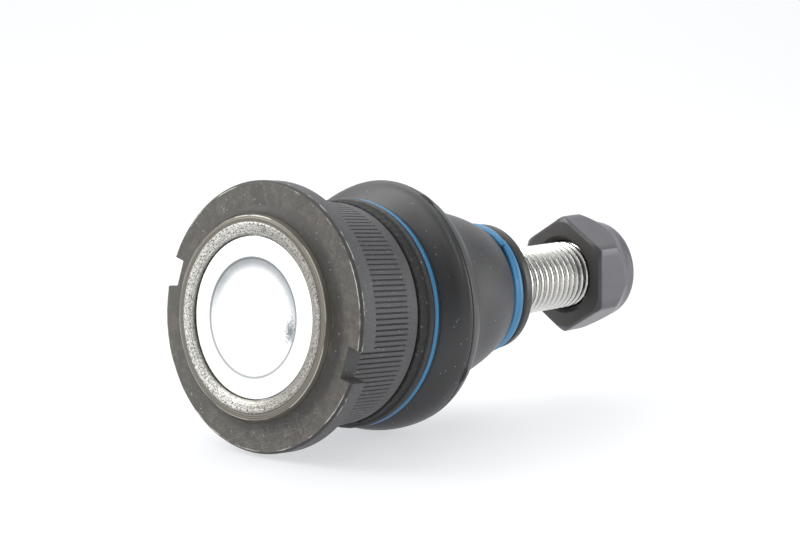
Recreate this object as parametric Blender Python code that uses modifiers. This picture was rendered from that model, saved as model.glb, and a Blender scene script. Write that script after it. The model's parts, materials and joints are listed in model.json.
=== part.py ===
"""A press-in suspension ball joint, lying on its side with its stud swung a little out of line.

Units are metres, +Z is up. Every turned piece is drawn as a profile of (radius, station) points, where
the station is measured from the ball's centre: along the housing's axis for the pieces fixed in the
housing, along the stud's axis for the pieces that swing with the stud. Stations grow from the closing
cover towards the nut. The finished joint stands on z = 0 with its box centred on x = y = 0.
"""

import math

import bpy
from mathutils import Matrix, Vector

# Build quality
SIDES = 40
FINE_SIDES = 32
WIRE_SIDES = 8
MERGE = 0.00001
GAP = 0.0003
CUT_PAST = 0.002

# How the joint lies, in degrees
HOUSING_DIP = 5.0
STUD_SWING_SIDE = -9.8
STUD_SWING_UP = 6.4
NOTCH_ANGLE = 15.0
NUT_ANGLE = 31.0

# Forged housing: radii
FLANGE_R = 0.0250
KNURL_R = 0.0214
BODY_R = 0.0212
SEAL_SHELF_R = 0.0189
SEAL_GROOVE_R = 0.0183
BORE_R = 0.0157
MOUTH_R = 0.0128
MOUTH_FLARE_R = 0.0146
RIM_R = 0.0190
RIM_EDGE_R = 0.0150
RIM_ROUNDING = 0.0006
FILLET_R = 0.0209

# Forged housing: stations along its axis
RIM_TOP = -0.0171
FLANGE_FACE = -0.0146
FLANGE_REAR = -0.0107
KNURL_END = 0.0025
BODY_END = 0.0055
SEAL_GROOVE_START = 0.0086
SEAL_GROOVE_END = 0.0112
HOUSING_END = 0.0124
BORE_END = 0.0056
MOUTH = 0.0093
FLANGE_CHAMFER = 0.0005

# Two notches across the flange
NOTCH_WIDTH = 0.0060
NOTCH_FLOOR_R = 0.0221

# Closing cover, held by the rolled rim
COVER_R = 0.0170
COVER_FRONT = -0.0159
COVER_BACK = -0.0146
COVER_DOME = 0.0004
RECESS_R = 0.0110
RECESS_DEPTH = 0.0004
COVER_POCKET_FLOOR = -0.0143

# Ball, seats and the spring ring that loads them
BALL_R = 0.0130
BALL_FLAT_R = 0.0040
SEAT_R = BORE_R - GAP
SEAT_BALL_R = BALL_R + GAP
SEAT_SPLIT = GAP / 2
REAR_SEAT_HOLE_R = 0.0050
REAR_SEAT_END = -0.0140
REAR_SEAT_STEP = -0.0130
REAR_SEAT_BOSS_R = 0.0112
FRONT_SEAT_EDGE = 0.0070
FRONT_SEAT_END = 0.0086
FRONT_SEAT_END_R = 0.0124
SPRING_RING_INNER_R = 0.0115
SPRING_RING_OUTER_R = 0.0153
SPRING_RING_THICKNESS = 0.0006
SPRING_RING_RISE = 0.0004
SPRING_RING_STATION = -0.0143

# Ball stud: radii and stations along its own axis
NECK_R = 0.0062
NECK_END = 0.0255
TAPER_LARGE_R = 0.0081
TAPER_START = 0.0320
TAPER_SMALL_R = 0.0073
TAPER_END = 0.0440
UNDERCUT_R = 0.0062
UNDERCUT_START = 0.0460
UNDERCUT_END = 0.0475
THREAD_R = 0.0070
STUD_END = 0.0778
STUD_CHAMFER = 0.0010

# Lock nut, M14 x 1.5, 22 mm across flats, with a nylon insert under its domed end
NUT_FLATS = 0.0220
NUT_START = 0.0669
NUT_SHOULDER_R = 0.0110
NUT_SHOULDER = 0.0753
NUT_SHOULDER_SLOPE = 1.6
NUT_END = 0.0793
NUT_BORE_R = THREAD_R + GAP
NUT_SINK_R = 0.0083
NUT_SINK_DEPTH = 0.0010
NUT_FACE_R = 0.0112
NUT_COLLAR_R = 0.0104
NUT_COLLAR = 0.0777
NUT_COLLAR_MOUTH_R = 0.0082
INSERT_R = 0.0089
INSERT_START = 0.0764
INSERT_END = 0.0784
CHAMFER_SLOPE = math.tan(math.radians(30))

# Rubber boot, drawn straight and then bent from the housing's axis to the stud's
BOOT_BEND_START = 0.0100
BOOT_BEND_KNEE = 0.0195
BOOT_BEND_END = 0.0400
BOOT_BEND_SHARE = 0.95
BOOT_BEAD_R = 0.0215
BOOT_COLLAR_R = 0.0221
BOOT_COLLAR_START = 0.0083
BULGE_STATION = 0.0172
BULGE_MIDDLE_R = 0.0196
BULGE_HEIGHT = 0.0046
BULGE_HALF_LENGTH = 0.0063
BULGE_WALL = 0.0020
CONE_WALL = 0.0017
BOOT_LIP_R = 0.0129
BOOT_LIP_ROUNDING = 0.0008
BOOT_BORE_R = 0.0080
BOOT_BORE_START = 0.0395
BOOT_END = 0.0460

# Retaining rings of the boot
LARGE_RING_R = 0.02135
LARGE_RING_WIRE_R = 0.00075
LARGE_RING_STATION = 0.0102
SMALL_RING_R = 0.0126
SMALL_RING_INNER_R = 0.0122
SMALL_RING_OUTER_R = 0.0133
SMALL_RING_WIDTH = 0.0024
SMALL_RING_STATION = 0.0416


def clear_scene():
    for obj in list(bpy.data.objects):
        bpy.data.objects.remove(obj, do_unlink=True)


def new_collection(name):
    made = bpy.data.collections.new(name)
    bpy.context.scene.collection.children.link(made)
    return made


def new_material(name, color, roughness, metallic):
    made = bpy.data.materials.new(name)
    made.use_nodes = True
    shader = made.node_tree.nodes["Principled BSDF"]
    shader.inputs["Base Color"].default_value = (*color, 1.0)
    shader.inputs["Roughness"].default_value = roughness
    shader.inputs["Metallic"].default_value = metallic
    return made


def new_empty(name, collection, parent=None, rotation=Matrix.Identity(4)):
    """An axis to hang parts on, with its origin at the ball's centre."""
    empty = bpy.data.objects.new(name, None)
    empty.empty_display_size = BALL_R
    empty.parent = parent
    empty.matrix_local = rotation
    collection.objects.link(empty)
    return empty


def link(name, mesh, collection, parent, material=None):
    obj = bpy.data.objects.new(name, mesh)
    obj.parent = parent
    if material:
        mesh.materials.append(material)
    collection.objects.link(obj)
    return obj


def oval(center, radii, start, end, steps):
    """Points of an oval in the profile plane; angles in degrees from +radius towards +station."""
    angles = [math.radians(start + (end - start) * i / steps) for i in range(steps + 1)]
    return [
        (center[0] + radii[0] * math.cos(a), center[1] + radii[1] * math.sin(a))
        for a in angles
    ]


def arc(center, radius, start, end, steps):
    return oval(center, (radius, radius), start, end, steps)


def turned(name, profile, sides, collection, parent, material=None, closed=True):
    """A turned piece: the profile runs down its outer side and, when closed, back up its inner side."""
    mesh = bpy.data.meshes.new(name)
    points = [(radius, 0.0, station) for radius, station in profile]
    edges = [(i, i + 1) for i in range(len(points) - 1)]
    if closed:
        edges.append((len(points) - 1, 0))
    mesh.from_pydata(points, edges, [])
    obj = link(name, mesh, collection, parent, material)
    screw = obj.modifiers.new("Turn", "SCREW")
    screw.axis = "Z"
    screw.angle = math.tau
    screw.steps = sides
    screw.render_steps = sides
    screw.use_merge_vertices = True
    screw.merge_threshold = MERGE
    screw.use_smooth_shade = True
    return obj


def place_in(obj, collection, parent):
    """Moves an object that an operator made into a collection, under a parent."""
    for old in obj.users_collection:
        old.objects.unlink(obj)
    collection.objects.link(obj)
    obj.parent = parent


def cut(obj, cutter, operation="DIFFERENCE"):
    boolean = obj.modifiers.new(cutter.name, "BOOLEAN")
    boolean.operation = operation
    boolean.solver = "EXACT"
    boolean.object = cutter
    cutter.hide_render = True
    cutter.display_type = "WIRE"


def sphere_profile(radius, from_station, to_station, steps):
    """Points of a ball's outline, from one station down to another."""
    start = math.degrees(math.asin(from_station / radius))
    end = math.degrees(math.asin(to_station / radius))
    return arc((0.0, 0.0), radius, start, end, steps)


def make_housing(parts, cutters, axis, material):
    outer = [
        (MOUTH_FLARE_R, HOUSING_END),
        (SEAL_SHELF_R, HOUSING_END),
        (SEAL_SHELF_R, SEAL_GROOVE_END),
        (SEAL_GROOVE_R, SEAL_GROOVE_END),
        (SEAL_GROOVE_R, SEAL_GROOVE_START),
        (SEAL_SHELF_R, SEAL_GROOVE_START),
        (SEAL_SHELF_R, BODY_END),
        (BODY_R, BODY_END),
        (BODY_R, KNURL_END),
        (KNURL_R, KNURL_END),
        (KNURL_R, FLANGE_REAR),
        (FLANGE_R, FLANGE_REAR),
        (FLANGE_R, FLANGE_FACE + FLANGE_CHAMFER),
        (FLANGE_R - FLANGE_CHAMFER, FLANGE_FACE),
        (FILLET_R, FLANGE_FACE),
    ]
    fillet = FILLET_R - RIM_R
    rim = arc((FILLET_R, FLANGE_FACE - fillet), fillet, 120, 180, 2)
    rim += [
        (RIM_R - RIM_ROUNDING, RIM_TOP),
        (RIM_EDGE_R + RIM_ROUNDING, RIM_TOP),
        (RIM_EDGE_R, RIM_TOP + RIM_ROUNDING),
        (RIM_EDGE_R, COVER_FRONT - GAP),
    ]
    inner = [
        (COVER_R + GAP, COVER_FRONT - GAP),
        (COVER_R + GAP, COVER_POCKET_FLOOR),
        (BORE_R, COVER_POCKET_FLOOR),
        (BORE_R, BORE_END),
        (MOUTH_R, MOUTH),
    ]
    housing = turned("housing", outer + rim + inner, SIDES, parts, axis, material)
    for side in (0, 180):
        bpy.ops.mesh.primitive_cube_add(size=1.0)
        notch = bpy.context.object
        notch.name = f"notch_cutter_{side}"
        place_in(notch, cutters, axis)
        depth = FLANGE_R - NOTCH_FLOOR_R
        middle = Vector((0.0, -(NOTCH_FLOOR_R + depth), (FLANGE_FACE + FLANGE_REAR) / 2))
        height = (FLANGE_REAR - FLANGE_FACE) * 1.5
        size = Matrix.Diagonal((NOTCH_WIDTH, 2 * depth, height, 1.0))
        turn = Matrix.Rotation(math.radians(NOTCH_ANGLE + side), 4, "Z")
        notch.matrix_local = turn @ Matrix.Translation(middle) @ size
        cut(housing, notch)
    return housing


def make_cover(parts, axis, material):
    dome = COVER_FRONT - COVER_DOME
    profile = [
        (0.0, COVER_BACK),
        (COVER_R, COVER_BACK),
        (COVER_R, COVER_FRONT),
        (RIM_EDGE_R - 2 * GAP, COVER_FRONT),
        (RECESS_R + RECESS_DEPTH, dome),
        (RECESS_R, dome),
        (RECESS_R - RECESS_DEPTH, dome + RECESS_DEPTH),
        (0.0, dome + RECESS_DEPTH),
    ]
    return turned("cover_plate", profile, SIDES, parts, axis, material, closed=False)


def make_spring_ring(parts, axis, material):
    low = SPRING_RING_STATION
    high = low + SPRING_RING_RISE
    profile = [
        (SPRING_RING_INNER_R, high + SPRING_RING_THICKNESS),
        (SPRING_RING_OUTER_R, low + SPRING_RING_THICKNESS),
        (SPRING_RING_OUTER_R, low),
        (SPRING_RING_INNER_R, high),
    ]
    return turned("spring_ring", profile, SIDES, parts, axis, material)


def make_rear_seat(parts, axis, material):
    hole = -math.sqrt(SEAT_BALL_R**2 - REAR_SEAT_HOLE_R**2)
    cup = sphere_profile(SEAT_BALL_R, hole, -SEAT_SPLIT, 8)
    outer = [
        (SEAT_R, -SEAT_SPLIT),
        (SEAT_R, REAR_SEAT_STEP),
        (REAR_SEAT_BOSS_R, REAR_SEAT_STEP),
        (REAR_SEAT_BOSS_R, REAR_SEAT_END),
        (REAR_SEAT_HOLE_R, REAR_SEAT_END),
    ]
    return turned("rear_ball_seat", outer + cup, SIDES, parts, axis, material)


def make_front_seat(parts, axis, material):
    cone = (BORE_R - MOUTH_R) / (MOUTH - BORE_END)
    shoulder = BORE_END - 2 * GAP
    cup = sphere_profile(SEAT_BALL_R, SEAT_SPLIT, FRONT_SEAT_EDGE, 5)
    outer = [
        (FRONT_SEAT_END_R, FRONT_SEAT_END),
        (SEAT_R - cone * (FRONT_SEAT_END - shoulder), FRONT_SEAT_END),
        (SEAT_R, shoulder),
        (SEAT_R, SEAT_SPLIT),
    ]
    return turned("front_ball_seat", outer + cup, SIDES, parts, axis, material)


def make_stud(parts, axis, material):
    neck = math.sqrt(BALL_R**2 - NECK_R**2)
    flat = -math.sqrt(BALL_R**2 - BALL_FLAT_R**2)
    shank = [
        (0.0, STUD_END),
        (THREAD_R - STUD_CHAMFER, STUD_END),
        (THREAD_R, STUD_END - STUD_CHAMFER),
        (THREAD_R, UNDERCUT_END + THREAD_R - UNDERCUT_R),
        (UNDERCUT_R, UNDERCUT_END),
        (UNDERCUT_R, UNDERCUT_START),
        (TAPER_SMALL_R, UNDERCUT_START - TAPER_SMALL_R + UNDERCUT_R),
        (TAPER_SMALL_R, TAPER_END),
        (TAPER_LARGE_R, TAPER_START),
        (NECK_R, NECK_END),
    ]
    ball = sphere_profile(BALL_R, neck, flat, 14)
    profile = shank + ball + [(0.0, flat)]
    return turned("ball_stud", profile, SIDES, parts, axis, material, closed=False)


def boot_cone():
    """The boot's concave cone, from the small ring down to where the bulge rolls over it."""
    return [
        (0.0135, 0.0398),
        (0.0146, 0.0376),
        (0.0159, 0.0345),
        (0.0171, 0.0305),
        (0.0183, 0.0265),
        (0.0192, 0.0240),
    ]


def boot_bulge(wall, start, end, steps):
    """The boot's bulge, or its inner side when a wall is taken off."""
    radii = (BULGE_HEIGHT - wall, BULGE_HALF_LENGTH - wall)
    return oval((BULGE_MIDDLE_R, BULGE_STATION), radii, start, end, steps)


def boot_outline():
    """The boot's outer side, from its small end down to the bead in the housing's groove."""
    small_floor = SMALL_RING_INNER_R - GAP
    small_half = SMALL_RING_WIDTH / 2 + GAP
    lip = [
        (BOOT_BORE_R, BOOT_END),
        (BOOT_LIP_R - BOOT_LIP_ROUNDING, BOOT_END),
        (BOOT_LIP_R, BOOT_END - BOOT_LIP_ROUNDING),
        (BOOT_LIP_R, SMALL_RING_STATION + small_half),
        (small_floor, SMALL_RING_STATION + small_half),
        (small_floor, SMALL_RING_STATION - small_half),
        (BOOT_LIP_R, SMALL_RING_STATION - small_half),
    ]
    large_floor = LARGE_RING_R - LARGE_RING_WIRE_R - GAP
    large_half = LARGE_RING_WIRE_R + GAP
    collar = [
        (large_floor, LARGE_RING_STATION + large_half),
        (large_floor, LARGE_RING_STATION - large_half),
        (BOOT_COLLAR_R, LARGE_RING_STATION - large_half),
        (BOOT_COLLAR_R, BOOT_COLLAR_START),
        (BOOT_BEAD_R, BOOT_COLLAR_START),
        (BOOT_BEAD_R, BODY_END + GAP),
        (SEAL_SHELF_R + GAP, BODY_END + GAP),
    ]
    return lip + boot_cone() + boot_bulge(0.0, 75, -62, 6) + collar


def boot_inside():
    """The boot's inner side, from the bead up to its small end."""
    bead = [
        (SEAL_SHELF_R + GAP, SEAL_GROOVE_START + GAP),
        (SEAL_GROOVE_R + GAP, SEAL_GROOVE_START + GAP),
        (SEAL_GROOVE_R + GAP, SEAL_GROOVE_END - GAP),
        (SEAL_SHELF_R + GAP, SEAL_GROOVE_END - GAP),
        (SEAL_SHELF_R + GAP, HOUSING_END),
    ]
    cone = [(radius - CONE_WALL, station) for radius, station in boot_cone()[:0:-1]]
    return bead + boot_bulge(BULGE_WALL, -50, 60, 3) + cone + [(BOOT_BORE_R, BOOT_BORE_START)]


def smooth_step(value, start, end):
    t = min(max((value - start) / (end - start), 0.0), 1.0)
    return t * t * (3.0 - 2.0 * t)


def bend_weight(station):
    """How far a point of the boot follows the stud: 0 at the housing, 1 at the stud."""
    bulge = smooth_step(station, BOOT_BEND_START, BOOT_BEND_KNEE)
    cone = smooth_step(station, BOOT_BEND_KNEE, BOOT_BEND_END)
    return BOOT_BEND_SHARE * bulge + (1.0 - BOOT_BEND_SHARE) * cone


def make_boot(parts, axis, swing, material):
    straight = turned("boot_straight", boot_outline() + boot_inside(), SIDES, parts, axis)
    graph = bpy.context.evaluated_depsgraph_get()
    mesh = bpy.data.meshes.new_from_object(straight.evaluated_get(graph))
    bpy.data.objects.remove(straight, do_unlink=True)
    turn = swing.to_quaternion()
    for vertex in mesh.vertices:
        part_turn = turn.copy()
        part_turn.angle *= bend_weight(vertex.co.z)
        vertex.co = part_turn @ vertex.co
    mesh.name = "boot"
    return link("boot", mesh, parts, axis, material)


def make_large_ring(parts, axis, material):
    center = (LARGE_RING_R, LARGE_RING_STATION)
    wire = arc(center, LARGE_RING_WIRE_R, 90, -270, WIRE_SIDES)[:-1]
    return turned("boot_ring_large", wire, SIDES, parts, axis, material)


def make_small_ring(parts, axis, material):
    half = SMALL_RING_WIDTH / 2
    edge = (SMALL_RING_OUTER_R - SMALL_RING_INNER_R) / 2
    profile = [
        (SMALL_RING_INNER_R, SMALL_RING_STATION + half),
        (SMALL_RING_R, SMALL_RING_STATION + half),
        (SMALL_RING_OUTER_R, SMALL_RING_STATION + half - edge),
        (SMALL_RING_OUTER_R, SMALL_RING_STATION - half + edge),
        (SMALL_RING_R, SMALL_RING_STATION - half),
        (SMALL_RING_INNER_R, SMALL_RING_STATION - half),
    ]
    return turned("boot_ring_small", profile, SIDES, parts, axis, material)


def make_nut(parts, cutters, axis, material):
    corner_r = NUT_FLATS / 2 / math.cos(math.radians(30))
    bpy.ops.mesh.primitive_cylinder_add(
        vertices=6, radius=corner_r, depth=NUT_END - NUT_START
    )
    nut = bpy.context.object
    nut.name = nut.data.name = "lock_nut"
    nut.data.materials.append(material)
    place_in(nut, parts, axis)
    middle = Matrix.Translation((0.0, 0.0, (NUT_START + NUT_END) / 2))
    nut.matrix_local = middle @ Matrix.Rotation(math.radians(NUT_ANGLE), 4, "Z")

    past = 1.05 * corner_r
    dome = (NUT_COLLAR_R - NUT_COLLAR_MOUTH_R, NUT_END - NUT_COLLAR)
    envelope = [
        (0.0, NUT_END),
        (NUT_COLLAR_MOUTH_R, NUT_END),
        *oval((NUT_COLLAR_MOUTH_R, NUT_COLLAR), dome, 60, 0, 2),
        (NUT_SHOULDER_R, NUT_SHOULDER),
        (past, NUT_SHOULDER - (past - NUT_SHOULDER_R) * NUT_SHOULDER_SLOPE),
        (past, NUT_START + (past - NUT_FACE_R) * CHAMFER_SLOPE),
        (NUT_FACE_R, NUT_START),
        (0.0, NUT_START),
    ]
    shape = turned("nut_outline", envelope, SIDES, cutters, axis, closed=False)
    cut(nut, shape, "INTERSECT")

    bore = [
        (0.0, NUT_END + CUT_PAST),
        (NUT_COLLAR_MOUTH_R - GAP, NUT_END + CUT_PAST),
        (NUT_COLLAR_MOUTH_R - GAP, INSERT_END + GAP),
        (INSERT_R + GAP, INSERT_END + GAP),
        (INSERT_R + GAP, INSERT_START - GAP),
        (NUT_BORE_R, INSERT_START - GAP),
        (NUT_BORE_R, NUT_START + NUT_SINK_DEPTH),
        (NUT_SINK_R, NUT_START),
        (NUT_SINK_R, NUT_START - CUT_PAST),
        (0.0, NUT_START - CUT_PAST),
    ]
    cut(nut, turned("nut_bore", bore, FINE_SIDES, cutters, axis, closed=False))
    return nut


def make_insert(parts, axis, material):
    profile = [
        (THREAD_R + GAP, INSERT_END),
        (INSERT_R, INSERT_END),
        (INSERT_R, INSERT_START),
        (THREAD_R + GAP, INSERT_START),
    ]
    return turned("lock_nut_insert", profile, FINE_SIDES, parts, axis, material)


def stand_on_floor(root, parts):
    """Moves the whole joint so that its box stands on z = 0, centred on x = y = 0."""
    bpy.context.view_layer.update()
    graph = bpy.context.evaluated_depsgraph_get()
    corners = []
    for obj in parts.objects:
        if obj.type != "MESH":
            continue
        shaped = obj.evaluated_get(graph)
        corners += [shaped.matrix_world @ vertex.co for vertex in shaped.data.vertices]
    low = [min(corner[i] for corner in corners) for i in range(3)]
    high = [max(corner[i] for corner in corners) for i in range(3)]
    root.location = (-(low[0] + high[0]) / 2, -(low[1] + high[1]) / 2, -low[2])
    bpy.context.view_layer.update()


def swing_matrix():
    """From the housing's axes to the stud's: a side swing about X, then an upward swing about Y."""
    side = Matrix.Rotation(math.radians(STUD_SWING_SIDE), 4, "X")
    return side @ Matrix.Rotation(math.radians(STUD_SWING_UP), 4, "Y")


def main():
    clear_scene()
    parts = new_collection("ball_joint")
    cutters = new_collection("ball_joint_cutters")
    cutters.hide_render = True

    phosphated = new_material("phosphated_steel", (0.17, 0.165, 0.155), 0.5, 0.8)
    zinc = new_material("zinc_plate", (0.78, 0.79, 0.80), 0.25, 1.0)
    acetal = new_material("white_acetal", (0.85, 0.84, 0.80), 0.45, 0.0)
    spring = new_material("spring_steel", (0.45, 0.45, 0.47), 0.35, 1.0)
    rubber = new_material("black_rubber", (0.02, 0.02, 0.022), 0.45, 0.0)
    blue = new_material("blue_plastic", (0.06, 0.28, 0.60), 0.35, 0.0)
    black_steel = new_material("black_steel", (0.09, 0.09, 0.10), 0.4, 0.9)
    nylon = new_material("blue_nylon", (0.10, 0.22, 0.45), 0.5, 0.0)

    # Local Z is the housing's axis, dipping towards the nut; local X points up, local Y to -Y.
    lying = Matrix.Rotation(math.radians(90 + HOUSING_DIP), 4, "Y")
    upright = Matrix.Rotation(math.radians(180), 4, "Z")
    root = new_empty("ball_center", parts)
    housing_axis = new_empty("housing_axis", parts, root, lying @ upright)
    stud_axis = new_empty("stud_axis", parts, housing_axis, swing_matrix())

    make_housing(parts, cutters, housing_axis, phosphated)
    make_cover(parts, housing_axis, zinc)
    make_spring_ring(parts, housing_axis, spring)
    make_rear_seat(parts, housing_axis, acetal)
    make_front_seat(parts, housing_axis, acetal)
    make_large_ring(parts, housing_axis, blue)
    make_boot(parts, housing_axis, swing_matrix(), rubber)
    make_small_ring(parts, stud_axis, blue)
    make_stud(parts, stud_axis, zinc)
    make_nut(parts, cutters, stud_axis, black_steel)
    make_insert(parts, stud_axis, nylon)
    stand_on_floor(root, parts)


main()
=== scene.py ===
"""The looks of the press-in ball joint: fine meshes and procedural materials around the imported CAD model.

Every turned piece is a profile of (radius, station) points in metres. Stations are measured from the
ball's centre, along the housing's axis or the stud's, and grow from the closing cover to the nut.
"""

import json
import math

import bmesh
import bpy
import numpy as np
from mathutils import Matrix, Vector


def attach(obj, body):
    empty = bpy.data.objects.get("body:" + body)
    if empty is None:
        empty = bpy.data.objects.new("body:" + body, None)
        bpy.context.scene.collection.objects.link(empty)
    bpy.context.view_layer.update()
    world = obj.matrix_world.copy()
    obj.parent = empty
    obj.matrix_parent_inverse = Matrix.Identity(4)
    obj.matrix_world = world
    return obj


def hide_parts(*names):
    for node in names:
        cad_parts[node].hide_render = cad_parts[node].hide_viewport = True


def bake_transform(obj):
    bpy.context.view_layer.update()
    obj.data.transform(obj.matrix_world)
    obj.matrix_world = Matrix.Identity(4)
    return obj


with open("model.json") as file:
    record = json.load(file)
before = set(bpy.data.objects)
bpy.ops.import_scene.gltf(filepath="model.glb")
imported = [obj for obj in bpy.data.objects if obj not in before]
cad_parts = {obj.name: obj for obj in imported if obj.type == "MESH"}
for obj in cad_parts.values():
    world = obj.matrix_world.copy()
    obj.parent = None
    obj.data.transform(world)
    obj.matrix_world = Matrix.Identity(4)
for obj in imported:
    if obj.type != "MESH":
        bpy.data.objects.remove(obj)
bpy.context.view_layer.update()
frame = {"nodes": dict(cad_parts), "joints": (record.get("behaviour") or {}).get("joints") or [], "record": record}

JOINTS = {joint["name"]: joint for joint in frame["joints"]}
MOUNTS = {mount["name"]: mount for mount in frame["record"]["mounts"]}
BALL_CENTER = Vector(JOINTS["swing_side"]["pos_m"])

# Sizes shared with the CAD model
GAP = 0.0003
FLANGE_R, KNURL_R, BODY_R = 0.0250, 0.0214, 0.0212
SEAL_SHELF_R, SEAL_GROOVE_R = 0.0189, 0.0183
BORE_R, MOUTH_R, MOUTH_FLARE_R = 0.0157, 0.0128, 0.0146
RIM_R, RIM_EDGE_R, FILLET_R = 0.0190, 0.0150, 0.0209
RIM_TOP, FLANGE_FACE, FLANGE_REAR = -0.0171, -0.0146, -0.0107
KNURL_END, BODY_END = 0.0025, 0.0055
SEAL_GROOVE_START, SEAL_GROOVE_END, HOUSING_END = 0.0086, 0.0112, 0.0124
BORE_END, MOUTH = 0.0056, 0.0093
NOTCH_ANGLE, NOTCH_WIDTH, NOTCH_FLOOR_R = 15.0, 0.0060, 0.0221
COVER_R, COVER_FRONT, COVER_BACK, COVER_POCKET_FLOOR = 0.0170, -0.0159, -0.0146, -0.0143
COVER_DOME, RECESS_R, RECESS_DEPTH = 0.0004, 0.0110, 0.0004
BALL_R, BALL_FLAT_R, NECK_R, NECK_END = 0.0130, 0.0040, 0.0062, 0.0255
TAPER_LARGE_R, TAPER_START, TAPER_SMALL_R, TAPER_END = 0.0081, 0.0320, 0.0073, 0.0440
UNDERCUT_R, UNDERCUT_START, UNDERCUT_END = 0.0062, 0.0460, 0.0475
THREAD_R, THREAD_PITCH, STUD_END = 0.0070, 0.0015, 0.0778
NUT_FLATS, NUT_START, NUT_END = 0.0220, 0.0669, 0.0793
NUT_ANGLE, NUT_FACE_R, NUT_SINK_R, NUT_SINK_DEPTH = 31.0, 0.0112, 0.0083, 0.0010
NUT_SHOULDER_R, NUT_SHOULDER = 0.0110, 0.0753
NUT_COLLAR_R, NUT_COLLAR, NUT_COLLAR_MOUTH_R = 0.0104, 0.0777, 0.0082
INSERT_R, INSERT_START, INSERT_END = 0.0089, 0.0764, 0.0784
BOOT_BEND_START, BOOT_BEND_KNEE, BOOT_BEND_END, BOOT_BEND_SHARE = 0.0100, 0.0195, 0.0400, 0.95
BOOT_BEAD_R, BOOT_COLLAR_R, BOOT_COLLAR_START = 0.0215, 0.0221, 0.0083
BULGE_STATION, BULGE_MIDDLE_R, BULGE_HEIGHT, BULGE_HALF_LENGTH = 0.0172, 0.0196, 0.0046, 0.0063
BULGE_WALL, CONE_WALL = 0.0020, 0.0017
BOOT_LIP_R, BOOT_BORE_R, BOOT_BORE_START, BOOT_END = 0.0129, 0.0080, 0.0395, 0.0460
LARGE_RING_R, LARGE_RING_WIRE_R, LARGE_RING_STATION = 0.02135, 0.00075, 0.0102
SMALL_RING_INNER_R, SMALL_RING_OUTER_R = 0.0122, 0.0133
SMALL_RING_WIDTH, SMALL_RING_STATION = 0.0024, 0.0416

# Details that only the looks have
KNURL_RIBS, KNURL_DEPTH = 133, 0.00034
RIB_SHAPE = (0.0, 0.0, 0.0, 0.0, 0.0, 0.0, 0.8, 0.9)
COLUMNS, BULGE_COLUMNS, RING_COLUMNS, NUT_COLUMNS, STUD_COLUMNS = 256, 480, 320, 360, 160
PARTING, PARTING_DEPTH, PARTING_HALF_WIDTH = 0.0190, 0.00018, 0.00016
NUB_ANGLE, NUB_COUNT, NUB_LENGTH, NUB_WIDTH, NUB_HEIGHT = 29.0, 4, 0.0016, 0.00050, 0.00035
SMALL_RING_SPLIT = 36.0
NUT_EDGE_ROUND, NUT_CORNER_R = 0.0009, 0.01265
RIM_BRIGHT_R, RIM_PITTED_R, FILLET_SHADE_R = 0.0163, 0.0167, 0.0196
RECESS_SLOPE = 0.0026
STAIN = (-0.0016, 0.0094)
THREAD_DEPTH = 0.00085


# ---------------------------------------------------------------- frames of the two axes

def frame_matrix(x_axis, z_axis):
    """A frame at the ball's centre from its z axis and a direction near its x axis."""
    z = Vector(z_axis).normalized()
    x = Vector(x_axis)
    x = (x - z * x.dot(z)).normalized()
    return Matrix.Translation(BALL_CENTER) @ Matrix((x, z.cross(x), z)).transposed().to_4x4()


HOUSING = frame_matrix(JOINTS["swing_side"]["axis"], -Vector(MOUNTS["press_face"]["axis"]))
STUD_Z = Vector(JOINTS["stud_spin"]["axis"])
STUD = frame_matrix(Vector(JOINTS["swing_up"]["axis"]).cross(STUD_Z), STUD_Z)
SWING = (HOUSING.inverted() @ STUD).to_quaternion()


# ---------------------------------------------------------------- profiles and meshes

def oval(center, radii, start, end, steps):
    """Points of an oval in the profile plane; angles in degrees from +radius towards +station."""
    turns = np.radians(np.linspace(start, end, steps + 1))
    return [(center[0] + radii[0] * math.cos(a), center[1] + radii[1] * math.sin(a)) for a in turns]


def sphere(radius, from_station, to_station, steps):
    start, end = (math.degrees(math.asin(s / radius)) for s in (from_station, to_station))
    return oval((0.0, 0.0), (radius, radius), start, end, steps)


def rounded(corners, steps=4, closed=False):
    """A profile with a fillet at each (radius, station, fillet) corner; an open one keeps its ends."""
    points = []
    for i, corner in enumerate(corners):
        here = Vector(corner[:2])
        fillet = corner[2] if len(corner) > 2 else 0.0
        at_end = not closed and i in (0, len(corners) - 1)
        if not fillet or at_end:
            points.append(tuple(here))
            continue
        before = Vector(corners[i - 1][:2]) - here
        after = Vector(corners[(i + 1) % len(corners)][:2]) - here
        half = before.angle(after) / 2
        reach = min(fillet / math.tan(half), 0.48 * before.length, 0.48 * after.length)
        first, last = here + before.normalized() * reach, here + after.normalized() * reach
        for k in range(steps + 1):
            t = k / steps
            points.append(tuple(first * (1 - t) ** 2 + here * 2 * t * (1 - t) + last * t * t))
    return points


def dense(points, longest):
    """The same profile with no stretch longer than this."""
    filled = []
    for (r0, s0), (r1, s1) in zip(points, points[1:]):
        count = max(1, math.ceil(math.hypot(r1 - r0, s1 - s0) / longest))
        filled += [(r0 + (r1 - r0) * k / count, s0 + (s1 - s0) * k / count) for k in range(count)]
    return filled + [points[-1]]


def mesh_of(name, vertices, faces):
    mesh = bpy.data.meshes.new(name)
    mesh.from_pydata([tuple(v) for v in vertices], [], [tuple(f) for f in faces])
    mesh.update()
    return mesh


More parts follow.
